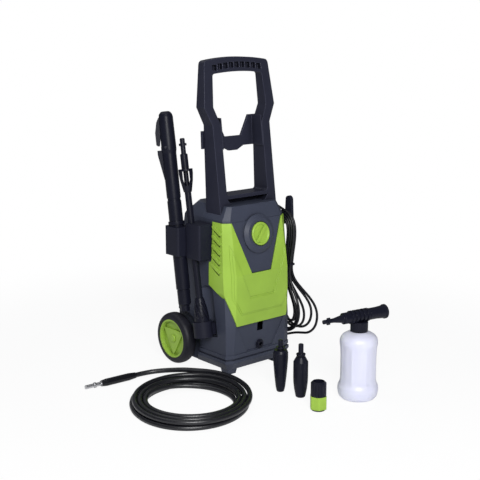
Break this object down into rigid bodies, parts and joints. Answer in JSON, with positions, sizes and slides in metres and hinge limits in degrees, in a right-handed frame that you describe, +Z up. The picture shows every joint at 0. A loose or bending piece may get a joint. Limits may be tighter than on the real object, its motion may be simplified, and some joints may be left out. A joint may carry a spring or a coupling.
{
  "type": "pressure washer",
  "caption": "Upright electric pressure washer on wheels with tall handle, clipped spray gun and lance, coiled hose, mains lead, nozzles and foam bottle.",
  "frame": {"origin": "on the floor under the middle of the machine's body", "axes": "+Z up, front of the machine faces -Y, +X to the right seen from the front"},
  "size_m": [0.6732, 0.6463, 0.823],
  "materials": {
    "green_plastic": "lime green, satin",
    "body_plastic": "dark blue-grey, finely textured",
    "black_plastic": "black, satin",
    "tyre": "matt black",
    "black_rubber": "black, slightly glossy",
    "steel": "turned",
    "cast_aluminium": "die cast",
    "brass": "machined",
    "black_tube": "black coated steel tube",
    "bottle_plastic": "translucent white, satin"
  },
  "bodies": {
    "machine": {"base_tray": "body_plastic", "front_feet": "body_plastic", "front_housing": "body_plastic", "rear_housing": "body_plastic", "front_cover": "green_plastic", "control_panel": "black_plastic", "handle_frame": "black_plastic", "cross_brace": "black_plastic", "gun_holder": "black_plastic", "lance_holder": "black_plastic", "lance_cup": "black_plastic", "cable_hook": "black_plastic", "cable_gland": "black_rubber", "axle": "steel", "axle_caps": "green_plastic", "outlet_socket": "black_plastic", "inlet_spout": "brass", "housing_screws": "steel", "motor_casing": "cast_aluminium", "stator": "steel", "bearings": "steel", "pump_casing": "cast_aluminium", "pistons": "steel", "pump_head": "cast_aluminium", "outlet_pipe": "steel", "inlet_pipe": "black_rubber", "rotary_switch": "black_plastic", "stop_switch": "black_plastic", "mains_lead": "black_rubber", "mains_hank": "black_rubber", "mains_tail": "black_rubber", "cord_tie": "black_plastic", "plug": "black_rubber", "hose_coil": "black_rubber", "hose_tail": "black_rubber", "hose_end": "black_rubber", "hose_spigot": "steel", "turbo_nozzle": "black_plastic", "fan_nozzle": "black_plastic", "tap_body": "black_plastic", "foam_bottle": "bottle_plastic", "foam_head": "black_plastic"},
    "wheel_left": {"tyre_left": "tyre", "hub_left": "green_plastic"},
    "wheel_right": {"tyre_right": "tyre", "hub_right": "green_plastic"},
    "knob": {"power_knob": "green_plastic"},
    "gun": {"gun_barrel": "black_plastic", "gun_grip": "black_plastic"},
    "trigger": {"gun_trigger": "black_plastic"},
    "lock_bolt": {"trigger_lock": "black_plastic"},
    "lance": {"lance_tube": "black_tube", "lance_collar": "black_plastic"},
    "lance_tip": {"lance_nozzle": "black_plastic"},
    "rotor": {"motor_shaft": "steel", "rotor_core": "steel", "cooling_fan": "black_plastic", "wobble_plate": "steel"},
    "tap_collar": {"tap_ring": "green_plastic"},
    "foam_tip": {"foam_nozzle": "black_plastic"}
  },
  "joints": [
    {"name": "wheel_left_spin", "type": "hinge", "parent": "machine", "child": "wheel_left", "pos_m": [-0.134, 0.068, 0.07], "axis": [1, 0, 0], "continuous": true},
    {"name": "wheel_right_spin", "type": "hinge", "parent": "machine", "child": "wheel_right", "pos_m": [0.134, 0.068, 0.07], "axis": [1, 0, 0], "continuous": true},
    {"name": "knob_turn", "type": "hinge", "parent": "machine", "child": "knob", "pos_m": [0, -0.11136, 0.369], "axis": [0, 0.9892, -0.1463], "range_deg": [0, 90]},
    {"name": "gun_lift", "type": "slide", "parent": "machine", "child": "gun", "axis": [0, 0.1461, 0.9893], "range_m": [0, 0.24]},
    {"name": "trigger_pull", "type": "hinge", "parent": "gun", "child": "trigger", "pos_m": [-0.16136, 0.0899, 0.66312], "axis": [-0.6529, -0.7493, 0.1106], "range_deg": [0, 9], "stiffness_Nm_per_rad": 0.3},
    {"name": "lock_push", "type": "slide", "parent": "gun", "child": "lock_bolt", "axis": [-0.6529, -0.7493, 0.1106], "range_m": [0, 0.002]},
    {"name": "lance_lift", "type": "slide", "parent": "machine", "child": "lance", "axis": [0, 0.1594, 0.9872], "range_m": [0, 0.095]},
    {"name": "lance_nozzle_turn", "type": "hinge", "parent": "lance", "child": "lance_tip", "pos_m": [-0.137, -0.0535, 0.105], "axis": [0, 0.1594, 0.9872], "range_deg": [-45, 45]},
    {"name": "motor_spin", "type": "hinge", "parent": "machine", "child": "rotor", "pos_m": [0, 0.004, 0.23], "axis": [0, 0, 1], "continuous": true},
    {"name": "tap_ring_pull", "type": "slide", "parent": "machine", "child": "tap_collar", "axis": [0, 0, -1], "range_m": [0, 0.003], "stiffness_N_per_m": 900},
    {"name": "foam_nozzle_turn", "type": "hinge", "parent": "machine", "child": "foam_tip", "pos_m": [0.039, -0.441, 0.2104], "axis": [0.9848, -0.1736, 0], "range_deg": [-90, 90]}
  ]
}
